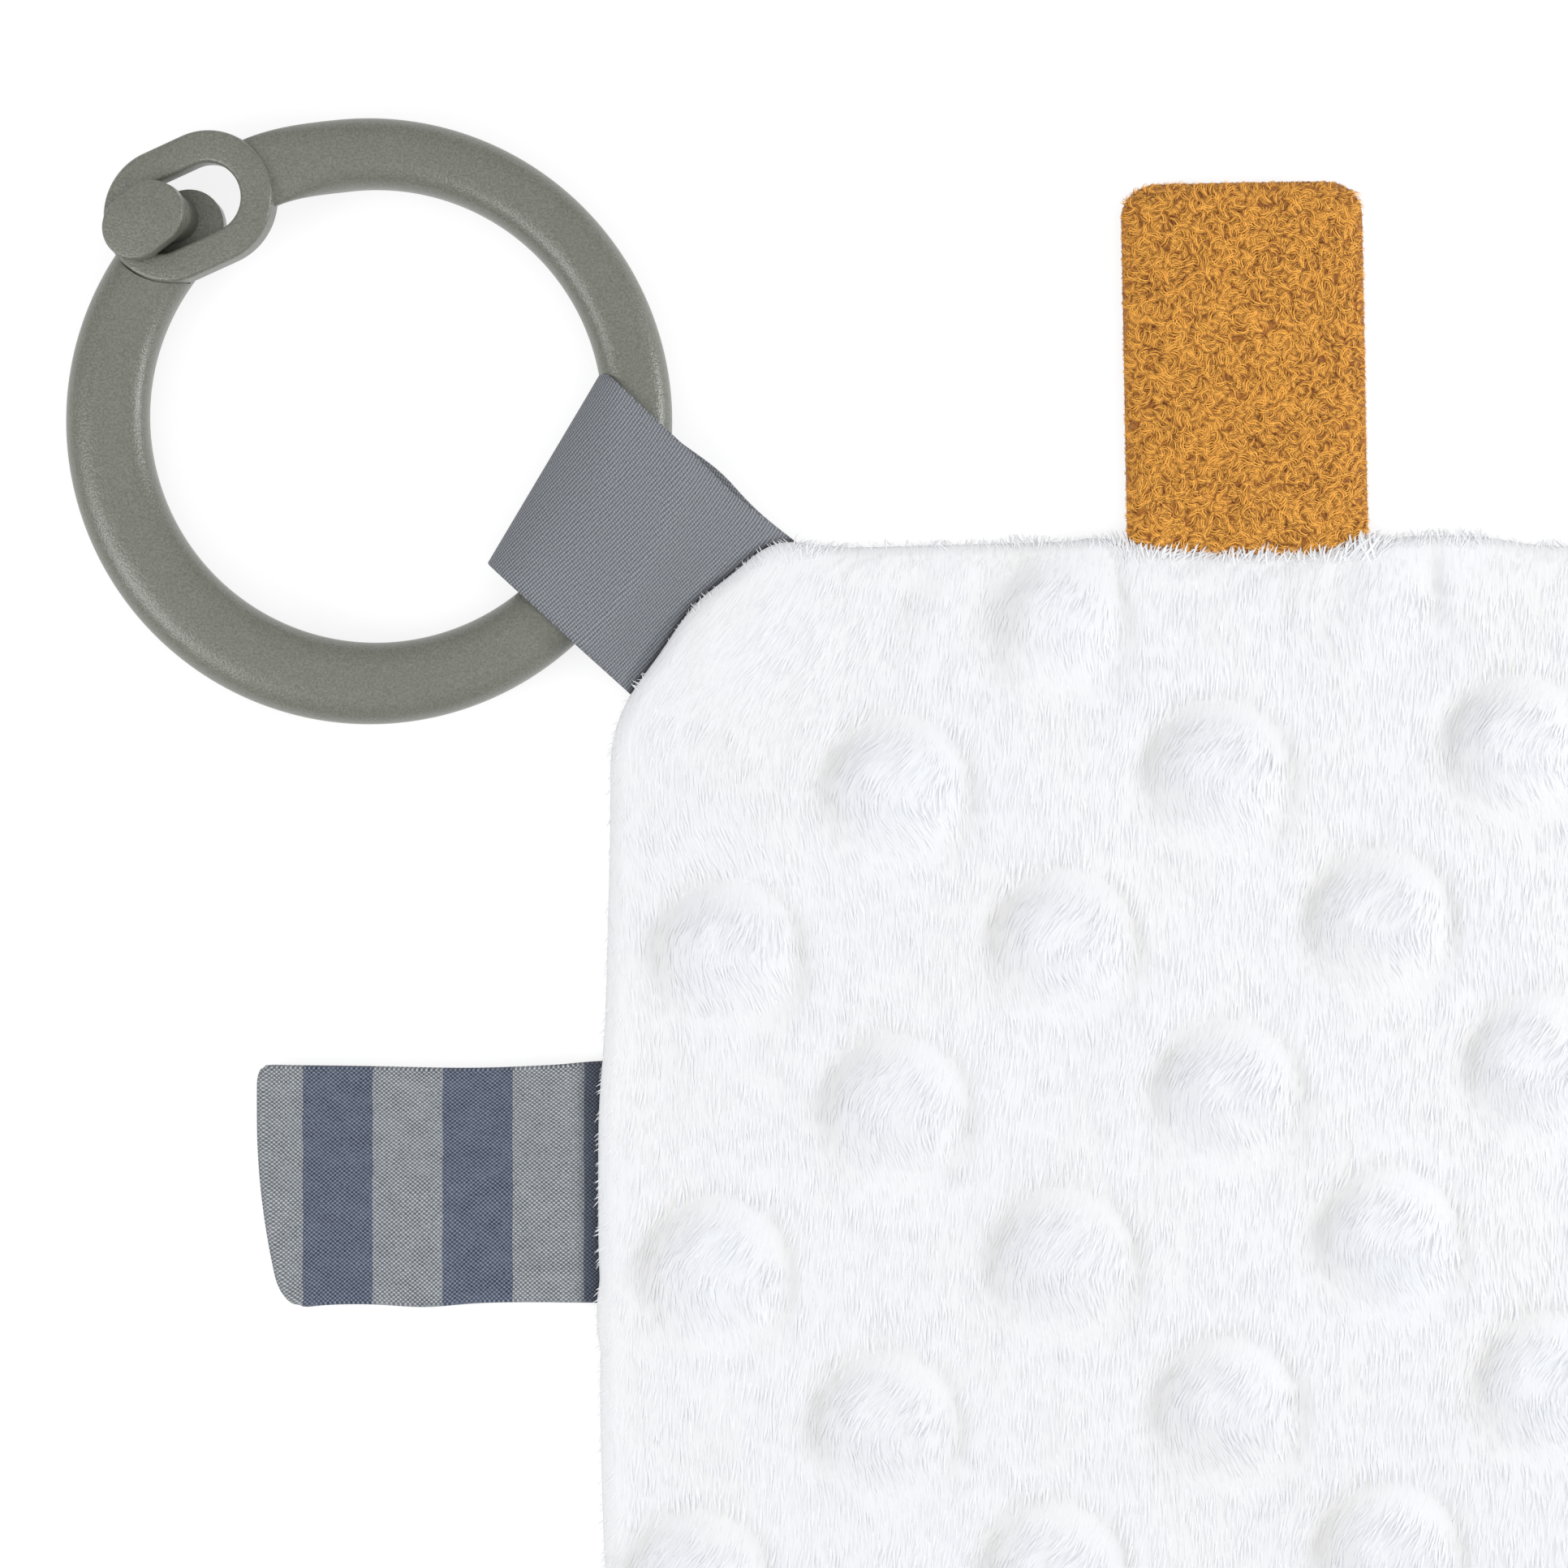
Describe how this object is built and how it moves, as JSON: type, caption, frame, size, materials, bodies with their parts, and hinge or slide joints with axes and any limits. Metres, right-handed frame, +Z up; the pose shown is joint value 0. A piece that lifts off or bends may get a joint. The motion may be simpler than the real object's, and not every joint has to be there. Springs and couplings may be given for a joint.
{
  "type": "crinkle cloth toy",
  "caption": "Small square crinkle cloth of dotted plush with a clasped plastic link ring on a corner ribbon and soft tabs on its sides.",
  "frame": {"origin": "middle of the back panel's underside, which lies flat on the table", "axes": "+Z up out of the dotted plush face; -X, +Y towards the corner with the link ring; +Y towards the side whose fleece tab is next to that corner"},
  "size_m": [0.235, 0.2247, 0.0113],
  "materials": {
    "plush": "white dotted plush, short upright pile",
    "cotton": "plain woven off-white cotton",
    "wadding": "thin polyester wadding",
    "film": "thin crinkle film",
    "ribbon": "grey twill ribbon",
    "ring": "sage grey satin moulded plastic",
    "fleece": "mustard teddy fleece with a curly pile",
    "jersey": "jersey with broad blue-grey and light grey stripes"
  },
  "bodies": {
    "cloth": {"front_panel": "plush", "back_panel": "cotton", "wadding": "wadding", "crinkle_film": "film"},
    "ribbon": {"corner_ribbon": "ribbon"},
    "ring": {"link_ring": "ring"},
    "top_tab": {"top_tab_front": "fleece", "top_tab_back": "fleece"},
    "bottom_tab": {"bottom_tab_front": "fleece", "bottom_tab_back": "fleece"},
    "left_loop": {"left_loop": "jersey"},
    "right_loop": {"right_loop": "jersey"}
  },
  "joints": [
    {"name": "ribbon_fold", "type": "hinge", "parent": "cloth", "child": "ribbon", "pos_m": [-0.06297, 0.06297, 0.0016], "axis": [0.7071, 0.7071, 0], "range_deg": [-110, 85]},
    {"name": "ring_spin", "type": "hinge", "parent": "ribbon", "child": "ring", "pos_m": [-0.09463, 0.08361, 0.0044], "axis": [0, 0, 1], "range_deg": [-85, 130]},
    {"name": "top_tab_fold", "type": "hinge", "parent": "cloth", "child": "top_tab", "pos_m": [-0.0009, 0.0719, 0.002], "axis": [1, 0, 0], "range_deg": [-90, 110]},
    {"name": "bottom_tab_fold", "type": "hinge", "parent": "cloth", "child": "bottom_tab", "pos_m": [0, -0.0719, 0.002], "axis": [-1, 0, 0], "range_deg": [-90, 110]},
    {"name": "left_loop_fold", "type": "hinge", "parent": "cloth", "child": "left_loop", "pos_m": [-0.0719, 0.00095, 0.002], "axis": [0, 1, 0], "range_deg": [-90, 110]},
    {"name": "right_loop_fold", "type": "hinge", "parent": "cloth", "child": "right_loop", "pos_m": [0.0719, 0, 0.002], "axis": [0, -1, 0], "range_deg": [-90, 110]}
  ]
}
